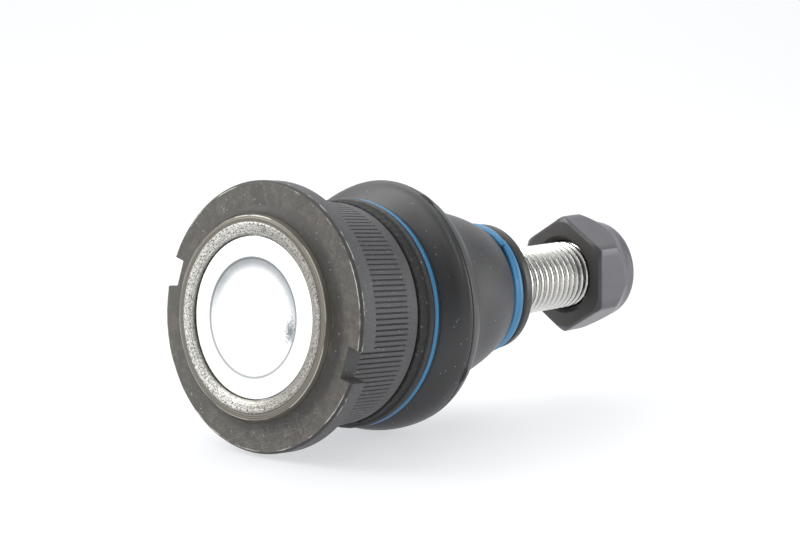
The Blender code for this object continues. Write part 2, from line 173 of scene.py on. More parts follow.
def lathe(name, profile, columns=COLUMNS, closed=True, shape=None, twist=0.0):
    """A turned mesh. shape(radius, station, angle) may change the radius; a radius of 0 is a pole."""
    angles = np.arange(columns) * math.tau / columns + twist
    vertices, rings = [], []
    for radius, station in profile:
        if radius < 1e-7:
            rings.append([len(vertices)])
            vertices.append((0.0, 0.0, station))
            continue
        radii = np.full(columns, radius) if shape is None else shape(radius, station, angles)
        rings.append(list(range(len(vertices), len(vertices) + columns)))
        vertices += [(r * math.cos(a), r * math.sin(a), station) for r, a in zip(radii, angles)]
    pairs = list(zip(rings, rings[1:])) + ([(rings[-1], rings[0])] if closed else [])
    faces = []
    for upper, lower in pairs:
        for i in range(columns):
            j = (i + 1) % columns
            if len(upper) == 1:
                faces.append((upper[0], lower[i], lower[j]))
            elif len(lower) == 1:
                faces.append((upper[i], lower[0], upper[j]))
            else:
                faces.append((upper[i], lower[i], lower[j], upper[j]))
    return mesh_of(name, vertices, faces)


def finished(mesh, sharp=32.0):
    """Faces turned outwards, and smooth shading with sharp creases."""
    work = bmesh.new()
    work.from_mesh(mesh)
    bmesh.ops.recalc_face_normals(work, faces=work.faces)
    if work.calc_volume(signed=True) < 0:
        bmesh.ops.reverse_faces(work, faces=work.faces)
    work.to_mesh(mesh)
    work.free()
    mesh.shade_smooth()
    mesh.set_sharp_from_angle(angle=math.radians(sharp))
    return mesh


def keep_places(mesh):
    """Stores where each point is before any bending, for the materials."""
    places = np.zeros(len(mesh.vertices) * 3, np.float32)
    mesh.vertices.foreach_get("co", places)
    attribute = mesh.attributes.get("straight") or mesh.attributes.new("straight", "FLOAT_VECTOR", "POINT")
    attribute.data.foreach_set("vector", places)


def piece(name, mesh, matrix, body, node, materials):
    """A finished piece that rides on a body and stands for a CAD node."""
    keep_places(mesh)
    made = bpy.data.objects.new(name, mesh)
    bpy.context.scene.collection.objects.link(made)
    made.matrix_world = matrix
    for material in materials:
        mesh.materials.append(material)
    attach(made, body)
    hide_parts(node)
    return made


def smooth_step(value, start, end):
    t = np.clip((np.asarray(value) - start) / (end - start), 0.0, 1.0)
    return t * t * (3.0 - 2.0 * t)


# ---------------------------------------------------------------- materials

class Look:
    """A material being made: each method adds one node and returns its output."""

    def __init__(self, name, **fixed):
        self.material = bpy.data.materials.new(name)
        self.material.use_nodes = True
        self.tree = self.material.node_tree
        self.shader = self.tree.nodes["Principled BSDF"]
        for socket, value in fixed.items():
            self.shader.inputs[socket.replace("_", " ").title().replace("Ior", "IOR")].default_value = value
        self.place = self.node("ShaderNodeAttribute", attribute_name="straight").outputs["Vector"]
        apart = self.node("ShaderNodeSeparateXYZ")
        self.join(self.place, apart.inputs[0])
        self.x, self.y, self.station = apart.outputs
        self.radius = self.math("SQRT", self.math("ADD", self.square(self.x), self.square(self.y)))

    def node(self, kind, **settings):
        made = self.tree.nodes.new(kind)
        for name, value in settings.items():
            setattr(made, name, value)
        return made

    def join(self, value, socket):
        if isinstance(value, bpy.types.NodeSocket):
            self.tree.links.new(value, socket)
        else:
            socket.default_value = value

    def math(self, operation, a, b=0.0, c=0.0, clamp=False):
        made = self.node("ShaderNodeMath", operation=operation, use_clamp=clamp)
        for value, socket in zip((a, b, c), made.inputs):
            self.join(value, socket)
        return made.outputs[0]

    def square(self, a):
        return self.math("MULTIPLY", a, a)

    def noise(self, scale, detail=3.0, roughness=0.55, place=None, distortion=0.0):
        made = self.node("ShaderNodeTexNoise")
        self.join(place or self.place, made.inputs["Vector"])
        for socket, value in (("Scale", scale), ("Detail", detail), ("Roughness", roughness)):
            made.inputs[socket].default_value = value
        made.inputs["Distortion"].default_value = distortion
        return made.outputs[0]

    def cells(self, scale):
        made = self.node("ShaderNodeTexVoronoi")
        self.join(self.place, made.inputs["Vector"])
        made.inputs["Scale"].default_value = scale
        return made.outputs["Distance"]

    def point(self, x, y, z):
        made = self.node("ShaderNodeCombineXYZ")
        for value, socket in zip((x, y, z), made.inputs):
            self.join(value, socket)
        return made.outputs[0]

    def step(self, value, start, end, low=0.0, high=1.0):
        """From low at start to high at end, eased at both ends."""
        made = self.node("ShaderNodeMapRange", interpolation_type="SMOOTHSTEP")
        for number, socket in zip((value, start, end, low, high), made.inputs):
            self.join(number, socket)
        return made.outputs[0]

    def band(self, value, middle, half_width, soft):
        """1 within half_width of the middle, 0 outside it."""
        off = self.math("ABSOLUTE", self.math("SUBTRACT", value, middle))
        return self.step(off, half_width, half_width + soft, 1.0, 0.0)

    def both(self, *masks):
        made = masks[0]
        for mask in masks[1:]:
            made = self.math("MULTIPLY", made, mask)
        return made

    def either(self, *masks):
        made = masks[0]
        for mask in masks[1:]:
            made = self.math("MAXIMUM", made, mask)
        return made

    def mix(self, amount, a, b):
        made = self.node("ShaderNodeMix", data_type="RGBA")
        sockets = [s for s in made.inputs if s.enabled]
        for value, socket in zip((amount, a, b), sockets):
            self.join((*value, 1.0) if isinstance(value, tuple) and len(value) == 3 else value, socket)
        return next(s for s in made.outputs if s.enabled)

    def bump(self, height, distance, strength=1.0, normal=None):
        made = self.node("ShaderNodeBump")
        made.inputs["Strength"].default_value = strength
        made.inputs["Distance"].default_value = distance
        self.join(height, made.inputs["Height"])
        if normal:
            self.join(normal, made.inputs["Normal"])
        return made.outputs[0]

    def done(self, **linked):
        for name, value in linked.items():
            self.join(value, self.shader.inputs[name.replace("_", " ").title()])
        return self.material


def specks(look, scale, size, cover):
    """Sparse small grains: a cell pattern kept only where a coarse noise is high."""
    grain = look.step(look.cells(scale), size, size * 0.6)
    where = look.step(look.noise(scale * 0.31, 1.0), 1.0 - cover, 1.04 - cover)
    return look.both(grain, where)


def scratches(look, across, along, angle):
    """Sparse straight hairlines: level lines of a noise stretched one way."""
    turned = look.node("ShaderNodeVectorRotate", rotation_type="Z_AXIS")
    look.join(look.place, turned.inputs["Vector"])
    turned.inputs["Angle"].default_value = math.radians(angle)
    stretched = look.node("ShaderNodeVectorMath", operation="MULTIPLY")
    look.join(turned.outputs[0], stretched.inputs[0])
    stretched.inputs[1].default_value = (across, along, along)
    drawn = look.noise(1.0, 1.0, 0.4, place=stretched.outputs[0])
    where = look.noise(across * 0.5, 1.0)
    return look.both(look.band(drawn, 0.5, 0.0015, 0.003), look.step(where, 0.56, 0.62))


def rim_wear_and_highlight(look, grain, rings):
    """(how bare the rolled rim is, its colour): brushed round, with a rough band near the middle and a bright worn
    band that a painted highlight makes brighter on one side.
    """
    start = look.math("ADD", look.station, look.math("MULTIPLY", look.noise(700.0, 3.0), 0.0010))
    on_rim = look.step(look.radius, RIM_R + 0.0006, RIM_R + 0.0001)
    bare = look.both(look.step(start, RIM_TOP + 0.0021, RIM_TOP + 0.0011), on_rim)
    color = look.mix(look.step(rings, 0.33, 0.70), (0.060, 0.054, 0.043), (0.270, 0.250, 0.212))
    streaks = look.noise(1.0, 4.0, 0.75, place=look.point(
        look.math("MULTIPLY", look.radius, 5500.0),
        look.math("MULTIPLY", look.math("DIVIDE", look.x, look.radius), 42.0),
        look.math("MULTIPLY", look.math("DIVIDE", look.y, look.radius), 42.0)))
    shine = look.math("MULTIPLY_ADD", streaks, 0.7, look.math("MULTIPLY", rings, 0.3))
    # A bright worn band; on one side it is made brighter still as a painted highlight.
    bright = look.both(look.band(look.radius, RIM_BRIGHT_R, 0.0007, 0.0008), look.step(shine, 0.42, 0.58))
    painted_light_side = look.step(look.math("DIVIDE", look.y, look.radius), 0.55, -0.45, 0.45, 1.0)
    color = look.mix(look.both(bright, painted_light_side), color, (0.78, 0.77, 0.73))
    pits = look.both(look.step(grain, 0.55, 0.60), look.band(look.radius, RIM_PITTED_R, 0.0005, 0.0006))
    color = look.mix(look.math("MULTIPLY", pits, 0.80), color, (0.04, 0.036, 0.028))
    outer = look.band(look.radius, RIM_R - 0.00045, 0.00004, 0.00010)
    outer = look.both(outer, look.step(look.noise(160.0, 3.0), 0.40, 0.55))
    color = look.mix(look.math("MULTIPLY", outer, 0.7), color, (0.55, 0.53, 0.47))
    line = look.band(look.radius, RIM_R - 0.0015, 0.00005, 0.00012)
    color = look.mix(look.math("MULTIPLY", line, 0.6), color, (0.05, 0.045, 0.035))
    return bare, color


def edge_wear(look):
    """(bright worn lines, the dark chamfer between them) along the flange's front edge."""
    ragged = look.math("MULTIPLY", look.math("SUBTRACT", look.noise(600.0, 4.0, 0.7), 0.5), 0.00035)
    front = look.band(look.math("ADD", look.radius, ragged), FLANGE_R - 0.00055, 0.00001, 0.00012)
    front = look.both(front, look.band(look.station, FLANGE_FACE, 0.0001, 0.0001))
    side = look.band(look.math("ADD", look.station, ragged), FLANGE_FACE + 0.00060, 0.00001, 0.00012)
    side = look.both(side, look.step(look.radius, FLANGE_R - 0.0002, FLANGE_R - 0.0001))
    worn = look.either(
        look.both(front, look.step(look.noise(230.0, 3.0, 0.6), 0.47, 0.60)),
        look.both(side, look.step(look.noise(310.0, 3.0, 0.6), 0.50, 0.62)),
    )
    chamfer = look.both(
        look.step(look.radius, FLANGE_R - 0.00048, FLANGE_R - 0.0004),
        look.step(look.station, FLANGE_FACE + 0.0005, FLANGE_FACE + 0.0004),
        look.step(look.station, FLANGE_FACE + 0.00002, FLANGE_FACE + 0.0001),
    )
    return worn, chamfer


# Painted shade: the mask of the two notches' walls, which are darkened in the colour.
def notch_wall_shade(look):
    across = look.math(
        "ADD",
        look.math("MULTIPLY", look.x, math.cos(math.radians(NOTCH_ANGLE))),
        look.math("MULTIPLY", look.y, math.sin(math.radians(NOTCH_ANGLE))),
    )
    inside = look.band(across, 0.0, NOTCH_WIDTH / 2 + 0.00003, 0.00003)
    return look.both(
        inside,
        look.step(look.radius, NOTCH_FLOOR_R - 0.00012, NOTCH_FLOOR_R - 0.00006),
        look.step(look.station, FLANGE_FACE + 0.00001, FLANGE_FACE + 0.00005),
    )


def phosphated_steel():
    """Brownish-grey phosphate: worn bright on edges and on the rolled rim, with a painted highlight on one side of
    the rim, and painted shade in the recesses: the fillet, the knurl's grooves and the notch walls.
    """
    look = Look("phosphated_steel_look")
    mottle = look.noise(130.0, 5.0)
    fine = look.noise(1500.0, 4.0, 0.65)
    grain = look.noise(2300.0, 3.0, 0.7)
    front = look.step(look.station, FLANGE_FACE + 0.0004, FLANGE_FACE + 0.0001)
    side_color = look.mix(mottle, (0.066, 0.066, 0.069), (0.104, 0.103, 0.106))
    face_color = look.mix(mottle, (0.044, 0.040, 0.034), (0.128, 0.118, 0.101))
    patches = look.step(look.noise(420.0, 5.0, 0.7, distortion=0.6), 0.46, 0.62)
    face_color = look.mix(look.math("MULTIPLY", patches, 0.45), face_color, (0.165, 0.152, 0.130))
    color = look.mix(front, side_color, face_color)
    color = look.mix(look.step(fine, 0.35, 0.75, 0.0, 0.40), color, (0.035, 0.035, 0.035))
    on_face = look.step(look.station, FLANGE_FACE + 0.0021, FLANGE_FACE + 0.0006)
    # Painted shade: the fillet round the rolled rim is darkened in the colour.
    fillet = look.both(look.band(look.radius, FILLET_SHADE_R, 0.0005, 0.0012), on_face)
    color = look.mix(look.math("MULTIPLY", fillet, 0.55), color, (0.03, 0.029, 0.027))
    # Painted shade: the bottoms of the knurl's grooves are darkened in the colour.
    knurl_groove_shade = look.both(
        look.step(look.radius, KNURL_R - 0.00003, KNURL_R - 0.00022),
        look.step(look.radius, BODY_R - 0.0004, BODY_R - 0.0003),
        look.step(look.station, KNURL_END, KNURL_END - 0.0001),
        look.step(look.station, FLANGE_REAR, FLANGE_REAR + 0.0001),
    )
    color = look.mix(look.math("MULTIPLY", knurl_groove_shade, 0.45), color, (0.012, 0.012, 0.012))
    # Painted shade on the notch walls.
    color = look.mix(look.math("MULTIPLY", notch_wall_shade(look), 0.6), color, (0.035, 0.034, 0.034))

    rings = look.noise(1.0, 4.0, 0.6, place=look.point(
        look.math("MULTIPLY", look.radius, 6000.0), 0.0, look.math("MULTIPLY", look.station, 3000.0)))
    bare, bare_and_highlight_color = rim_wear_and_highlight(look, grain, rings)
    color = look.mix(bare, color, bare_and_highlight_color)

    hairlines = look.either(scratches(look, 60.0, 700.0, 20.0), scratches(look, 80.0, 900.0, 110.0))
    grains = look.either(specks(look, 1100.0, 0.16, 0.47), specks(look, 520.0, 0.07, 0.50))
    marks = look.either(grains, look.math("MULTIPLY", hairlines, 0.7))
    marks = look.both(marks, look.step(look.radius, RIM_R, RIM_R + 0.001))
    color = look.mix(look.math("MULTIPLY", marks, 0.8), color, (0.36, 0.35, 0.32))
    worn, chamfer = edge_wear(look)
    color = look.mix(look.math("MULTIPLY", chamfer, 0.7), color, (0.02, 0.02, 0.02))
    color = look.mix(look.math("MULTIPLY", worn, 0.95), color, (0.58, 0.56, 0.51))

    metal = look.math("ADD", look.math("MULTIPLY", bare, 0.75), look.math("MULTIPLY", worn, 0.3, clamp=True))
    roughness = look.math("ADD", 0.50, look.math("MULTIPLY", mottle, 0.14))
    roughness = look.math("SUBTRACT", roughness, look.math("MULTIPLY", bare, 0.22))
    height = look.math("ADD", look.math("MULTIPLY", fine, 0.5), look.both(bare, rings))
    normal = look.bump(height, 0.00006, 0.7)
    return look.done(base_color=color, metallic=metal, roughness=roughness, normal=normal)


def zinc_cover():
    """Bright zinc over pressed sheet: greyer on the recess's slope as a painted reflection, strongest on one side,
    darker along its edge as painted shade, and one stained spot.
    """
    look = Look("zinc_cover_look", metallic=1.0)
    cloud = look.noise(220.0, 4.0)
    grain = look.noise(2200.0, 3.0, 0.7)
    color = look.mix(cloud, (0.80, 0.825, 0.835), (0.92, 0.93, 0.93))
    inside = look.step(look.radius, RECESS_R + 0.0001, RECESS_R - 0.0002)
    # Painted reflection: the recess's slope is darkened in the colour, more on one side.
    slope = look.step(look.radius, RECESS_R - 0.0032, RECESS_R - 0.0005)
    painted_light_side = look.step(look.math("DIVIDE", look.x, look.radius), -0.45, 0.75, 0.14, 1.0)
    slope_painted_reflection = look.both(slope, inside, painted_light_side, look.step(cloud, 0.2, 0.7, 0.75, 1.0))
    color = look.mix(look.math("MULTIPLY", slope_painted_reflection, 0.75), color, (0.17, 0.18, 0.185))
    # Painted shade: a dark line along the recess's edge.
    edge = look.band(look.radius, RECESS_R - 0.0001, 0.00012, 0.00026)
    color = look.mix(look.math("MULTIPLY", edge, 0.75), color, (0.14, 0.15, 0.155))
    aside = look.math("SUBTRACT", look.x, STAIN[0])
    outward = look.math("SUBTRACT", look.y, STAIN[1])
    long_way = look.square(look.math("MULTIPLY", aside, 0.65))
    away = look.math("SQRT", look.math("ADD", long_way, look.square(outward)))
    ragged = look.math("MULTIPLY", look.math("SUBTRACT", look.noise(3600.0, 3.0, 0.75), 0.5), 0.0052)
    stain = look.both(look.step(look.math("ADD", away, ragged), 0.0022, 0.0002), inside)
    color = look.mix(look.math("MULTIPLY", stain, 0.85), color, (0.07, 0.08, 0.09))
    roughness = look.math("ADD", 0.16, look.math("MULTIPLY", grain, 0.10))
    return look.done(base_color=color, roughness=roughness, normal=look.bump(grain, 0.00004, 0.30))


def zinc_thread():
    """Bright zinc on the stud, with painted shade in the thread's valleys."""
    look = Look("zinc_thread_look", metallic=1.0)
    grain = look.noise(1400.0, 4.0, 0.6)
    streaks = look.noise(1.0, 3.0, 0.6, place=look.point(
        look.math("MULTIPLY", look.x, 500.0),
        look.math("MULTIPLY", look.y, 500.0),
        look.math("MULTIPLY", look.station, 4000.0)))
    # Painted shade: the thread's valleys are darkened in the colour.
    valley = look.step(look.radius, THREAD_R - 0.0002, THREAD_R - 0.0008)
    valley = look.both(valley, look.step(look.station, UNDERCUT_START, UNDERCUT_END))
    color = look.mix(grain, (0.64, 0.63, 0.60), (0.84, 0.83, 0.80))
    color = look.mix(look.math("MULTIPLY", valley, 0.75), color, (0.30, 0.29, 0.27))
    roughness = look.math("ADD", 0.14, look.math("MULTIPLY", streaks, 0.22))
    return look.done(base_color=color, roughness=roughness, normal=look.bump(streaks, 0.00005, 0.4))


def black_rubber(name, bulge=False):
    """Moulded satin rubber, a little dusty; the bead on the housing is rough and greasy."""
    look = Look(name, specular_ior_level=0.7)
    skin = look.noise(2400.0, 3.0, 0.7)
    cloud = look.noise(140.0, 4.0)
    color = look.mix(cloud, (0.015, 0.015, 0.015), (0.028, 0.028, 0.029))
    dust = look.either(specks(look, 900.0, 0.12, 0.44), specks(look, 420.0, 0.045, 0.50))
    color = look.mix(look.math("MULTIPLY", dust, 0.7), color, (0.50, 0.51, 0.52))
    roughness = look.math("ADD", 0.34, look.math("MULTIPLY", cloud, 0.10))
    normal = look.bump(skin, 0.00004, 0.5)
    lip = look.step(look.station, SMALL_RING_STATION, SMALL_RING_STATION + 0.001)
    color = look.mix(look.math("MULTIPLY", lip, 0.6), color, (0.006, 0.006, 0.006))
    if bulge:
        outside = look.step(look.radius, 0.0222, 0.0225)
        angle = look.math("ARCTAN2", look.y, look.x)
        turns = look.math("SUBTRACT", angle, math.radians(NUB_ANGLE))
        tab = look.step(look.math("COSINE", look.math("MULTIPLY", turns, NUB_COUNT)), 0.950, 0.965)
        tab = look.both(tab, look.band(look.station, PARTING, NUB_WIDTH, 0.0001))
        seam = look.both(look.either(look.band(look.station, PARTING, 0.00010, 0.00012), tab), outside)
        color = look.mix(look.math("MULTIPLY", seam, 0.9), color, (0.004, 0.004, 0.004))
        bead = look.both(look.step(look.station, BOOT_COLLAR_START, BOOT_COLLAR_START - 0.0002),
                         look.step(look.radius, 0.0200, 0.0202))
        color = look.mix(bead, color, (0.006, 0.006, 0.006))
        lumps = look.noise(900.0, 5.0, 0.7, distortion=0.8)
        crumbs = look.both(bead, look.step(look.noise(1500.0, 3.0, 0.6), 0.64, 0.70))
        color = look.mix(look.math("MULTIPLY", crumbs, 0.5), color, (0.20, 0.20, 0.19))
        roughness = look.math("ADD", roughness, look.math("MULTIPLY", look.either(seam, bead), 0.30))
        normal = look.bump(look.both(bead, lumps), 0.00035, 1.0, normal)
    return look.done(base_color=color, roughness=roughness, normal=normal)


def blue_ring_plastic():
    look = Look("blue_ring_look")
    cloud = look.noise(300.0, 3.0)
    skin = look.noise(2600.0, 2.0, 0.6)
    color = look.mix(cloud, (0.034, 0.180, 0.35), (0.054, 0.245, 0.465))
    color = look.mix(look.math("MULTIPLY", specks(look, 1500.0, 0.1, 0.45), 0.5), color, (0.5, 0.6, 0.7))
    roughness = look.math("ADD", 0.30, look.math("MULTIPLY", cloud, 0.12))
    return look.done(base_color=color, roughness=roughness, normal=look.bump(skin, 0.00003, 0.4))


def black_nut_steel():
    """Dark phosphated and oiled steel: brownish on the turned face, which is darkened further as painted shade,
    bluish on the forged flats; painted shade along the rounded near edge and in the countersink.
    """
    look = Look("black_nut_look", specular_ior_level=0.8)
    mottle = look.noise(240.0, 4.0)
    fine = look.noise(1700.0, 4.0, 0.65)
    face = look.step(look.station, NUT_START + 0.00015, NUT_START + 0.00005)
    flats = look.mix(mottle, (0.066, 0.064, 0.074), (0.108, 0.104, 0.119))
    # The turned face's own brown, made darker still as painted shade from the boot and stud.
    brown_face_and_shade = look.mix(mottle, (0.013, 0.011, 0.010), (0.030, 0.026, 0.022))
    color = look.mix(face, flats, brown_face_and_shade)
    # Painted shade: a dark band along the nut's rounded near edge.
    edge = look.both(look.step(look.station, NUT_START + 0.0009, NUT_START + 0.0006),
                     look.step(look.station, NUT_START + 0.00002, NUT_START + 0.00012))
    color = look.mix(look.math("MULTIPLY", edge, 0.75), color, (0.012, 0.011, 0.011))
    # Painted shade: the countersink is darkened in the colour.
    countersink_shade = look.step(look.radius, NUT_SINK_R + 0.0001, NUT_SINK_R - 0.0001)
    color = look.mix(look.math("MULTIPLY", countersink_shade, 0.8), color, (0.008, 0.007, 0.006))
    color = look.mix(look.math("MULTIPLY", specks(look, 1500.0, 0.12, 0.40), 0.4), color, (0.3, 0.3, 0.3))
    roughness = look.math("ADD", 0.27, look.math("MULTIPLY", fine, 0.14))
    roughness = look.math("ADD", roughness, look.math("MULTIPLY", face, 0.25))
    return look.done(base_color=color, roughness=roughness, normal=look.bump(fine, 0.00005, 0.45))


def nylon():
    look = Look("nylon_look")
    cloud = look.noise(400.0, 3.0)
    color = look.mix(cloud, (0.055, 0.13, 0.30), (0.085, 0.18, 0.38))
    roughness = look.math("ADD", 0.38, look.math("MULTIPLY", cloud, 0.15))
    normal = look.bump(look.noise(2400.0, 2.0), 0.00003, 0.4)
    return look.done(base_color=color, roughness=roughness, normal=normal)


def hidden_look(name, dark, light, metallic, rough):
    """The sealed inner pieces: a mottled colour laid out by the object's own coordinates."""
    look = Look(name, metallic=metallic)
    place = look.node("ShaderNodeTexCoord").outputs["Object"]
    cloud = look.noise(350.0, 4.0, place=place)
    roughness = look.math("ADD", rough, look.math("MULTIPLY", cloud, 0.15))
    return look.done(base_color=look.mix(cloud, dark, light), roughness=roughness)


# ---------------------------------------------------------------- pieces in the housing

def knurled(radius, station, angles):
    """The housing's radius: narrow grooves along the axis on the knurled band."""
    radii = np.full(len(angles), radius)
    if not (abs(radius - KNURL_R) < 1e-6 and FLANGE_REAR < station < KNURL_END + 1e-6):
        return radii
    depth = KNURL_DEPTH * (0.9 + 0.1 * np.sin(angles * 17.0) * np.sin(angles * 5.0 + 1.0))
    return radii - depth * np.resize(RIB_SHAPE, len(angles))


def housing_profile():
    fillet = FILLET_R - RIM_R
    front = rounded([
        (MOUTH_FLARE_R, HOUSING_END, 0.0005), (SEAL_SHELF_R, HOUSING_END, 0.0004),
        (SEAL_SHELF_R, SEAL_GROOVE_END), (SEAL_GROOVE_R, SEAL_GROOVE_END),
        (SEAL_GROOVE_R, SEAL_GROOVE_START), (SEAL_SHELF_R, SEAL_GROOVE_START),
        (SEAL_SHELF_R, BODY_END), (BODY_R, BODY_END, 0.0004), (BODY_R, KNURL_END + 0.0002),
    ])
    knurl = dense([(KNURL_R, KNURL_END), (KNURL_R, FLANGE_REAR + 0.0001)], 0.0016)
    flange = rounded([
        (KNURL_R - 0.0003, FLANGE_REAR), (FLANGE_R, FLANGE_REAR, 0.0004),
        (FLANGE_R, FLANGE_FACE + 0.00055, 0.0001), (FLANGE_R - 0.0005, FLANGE_FACE, 0.0001),
    ])
    face = dense([(FLANGE_R - 0.0006, FLANGE_FACE), (FILLET_R, FLANGE_FACE)], 0.0012)
    dip = oval((FILLET_R, FLANGE_FACE - fillet), (fillet, fillet), 95, 175, 12)
    rim = rounded([
        (RIM_R, RIM_TOP + 0.0008, 0.0003), (RIM_R - 0.0004, RIM_TOP + 0.0002, 0.0004),
        (RIM_R - 0.0011, RIM_TOP + 0.00008, 0.0006), (RIM_R - 0.0015, RIM_TOP + 0.00016, 0.0003),
        (RIM_R - 0.0019, RIM_TOP, 0.0006), (RIM_EDGE_R + 0.0010, RIM_TOP + 0.00015, 0.0016),
        (RIM_EDGE_R, RIM_TOP + 0.00060, 0.0003), (RIM_EDGE_R, COVER_FRONT - GAP),
        (COVER_R + GAP, COVER_FRONT - GAP), (COVER_R + GAP, COVER_POCKET_FLOOR),
        (BORE_R, COVER_POCKET_FLOOR), (BORE_R, BORE_END), (MOUTH_R, MOUTH, 0.0005),
    ], 6)
    return front + knurl + flange + face + dip + rim


def cut_notches(mesh):
    """The two notches across the flange, cut with boxes."""
    body = bpy.data.objects.new("housing_uncut", mesh)
    bpy.context.scene.collection.objects.link(body)
    depth = FLANGE_R - NOTCH_FLOOR_R
    height = (FLANGE_REAR - FLANGE_FACE) * 1.5
    boxes = []
    for side in (0, 180):
        bpy.ops.mesh.primitive_cube_add(size=1.0)
        box = bpy.context.object
        size = Matrix.Diagonal((NOTCH_WIDTH, 2 * depth, height, 1.0))
        middle = Vector((0.0, -(NOTCH_FLOOR_R + depth), (FLANGE_FACE + FLANGE_REAR) / 2))
        turn = Matrix.Rotation(math.radians(NOTCH_ANGLE + side), 4, "Z")
        box.matrix_world = turn @ Matrix.Translation(middle) @ size
        cutter = body.modifiers.new("Notch", "BOOLEAN")
        cutter.operation, cutter.solver, cutter.object = "DIFFERENCE", "EXACT", box
        boxes.append(box)
    bpy.context.view_layer.update()
    cut = bpy.data.meshes.new_from_object(body.evaluated_get(bpy.context.evaluated_depsgraph_get()))
    for helper in [body, *boxes]:
        bpy.data.objects.remove(helper, do_unlink=True)
    return cut


def make_housing(material):
    mesh = lathe("housing_shell", housing_profile(), KNURL_RIBS * len(RIB_SHAPE), shape=knurled)
    mesh = finished(cut_notches(finished(mesh)))
    mesh.materials.clear()
    return piece("housing_shell", mesh, HOUSING, "housing", "housing", [material])


def make_cover(material):
    dome = COVER_FRONT - COVER_DOME
    share = np.linspace(0.0, 1.0, 15)
    depth = RECESS_DEPTH * (1.0 - (1.0 - share) ** 2.2)
    recess = [(RECESS_R - RECESS_SLOPE * t, dome + d) for t, d in zip(share, depth)]
    profile = rounded([
        (0.0, COVER_BACK), (COVER_R, COVER_BACK, 0.0002), (COVER_R, COVER_FRONT, 0.0002),
        (RIM_EDGE_R - 0.00012, COVER_FRONT, 0.00005), (RIM_EDGE_R - 0.00016, COVER_FRONT - 0.0003, 0.0001),
        (RECESS_R + 0.0014, dome, 0.003), (RECESS_R + 0.0002, dome),
    ], 6) + recess + [(RECESS_R * 0.4, dome + RECESS_DEPTH), (0.0, dome + RECESS_DEPTH)]
    mesh = finished(lathe("cover_disc", profile, closed=False))
    return piece("cover_disc", mesh, HOUSING, "housing", "cover_plate", [material])


def make_large_ring(material):
    wire = oval((LARGE_RING_R, LARGE_RING_STATION), (LARGE_RING_WIRE_R, LARGE_RING_WIRE_R), 90, -270, 24)[:-1]
    mesh = finished(lathe("large_ring", wire, RING_COLUMNS))
    return piece("large_ring", mesh, HOUSING, "housing", "boot_ring_large", [material])


# ---------------------------------------------------------------- the boot

def bend_weight(station):
    """How far a point of the boot follows the stud: 0 at the housing, 1 at the stud."""
    bulge = smooth_step(station, BOOT_BEND_START, BOOT_BEND_KNEE)
    cone = smooth_step(station, BOOT_BEND_KNEE, BOOT_BEND_END)
    return BOOT_BEND_SHARE * bulge + (1.0 - BOOT_BEND_SHARE) * cone


def bent(mesh):
    """The straight boot bent from the housing's axis to the stud's."""
    for vertex in mesh.vertices:
        turn = SWING.copy()
        turn.angle *= float(bend_weight(vertex.co.z))
        vertex.co = turn @ vertex.co
    mesh.update()
    return mesh


def cone_outline():
    """The cone from the small ring down to the crease, as a smooth curve through its main points."""
    knots = [
        (0.0135, 0.0398), (0.0146, 0.0376), (0.0159, 0.0345),
        (0.0171, 0.0305), (0.0183, 0.0265), (0.0192, 0.0240),
    ]
    radii, stations = (np.array(v) for v in zip(*knots))
    curve = np.polynomial.Polynomial.fit(stations, radii, 4)
    along = np.linspace(stations[0], stations[-1], 28)
    return [(float(curve(s)), float(s)) for s in along]


def boot_bulge(wall, start, end, steps):
    radii = (BULGE_HEIGHT - wall, BULGE_HALF_LENGTH - wall)
    return oval((BULGE_MIDDLE_R, BULGE_STATION), radii, start, end, steps)


def uneven(angles, size, seed):
    """A closed, lumpy line round the circle."""
    waves = sum(np.sin(angles * k + seed * k * k) for k in (7, 13, 29, 47, 71, 97))
    return size * waves / 3.0


def bulge_skin(radius, station, angles):
    """The mould's parting line with its small tabs, and the rough edge of the bead."""
    radii = np.full(len(angles), radius)
    if abs(station - BODY_END - GAP) < 0.0006 and radius > BOOT_BEAD_R - 0.0008:
        return radii + uneven(angles, 0.00012, 1.7)
    if abs(station - BOOT_COLLAR_START) < 0.0003 and radius > BOOT_BEAD_R - 0.0003:
        return radii + uneven(angles, 0.00004, 0.6)
    if radius < BULGE_MIDDLE_R + 0.55 * BULGE_HEIGHT or abs(station - PARTING) > 0.0016:
        return radii
    radii = radii - PARTING_DEPTH * math.exp(-(((station - PARTING) / PARTING_HALF_WIDTH) ** 2))
    turn = math.tau / NUB_COUNT
    off = (angles - math.radians(NUB_ANGLE) + turn / 2) % turn - turn / 2
    along, across = off * radius / NUB_LENGTH, (station - PARTING) / NUB_WIDTH
    return radii + NUB_HEIGHT * np.exp(-(along**6) - across**6)


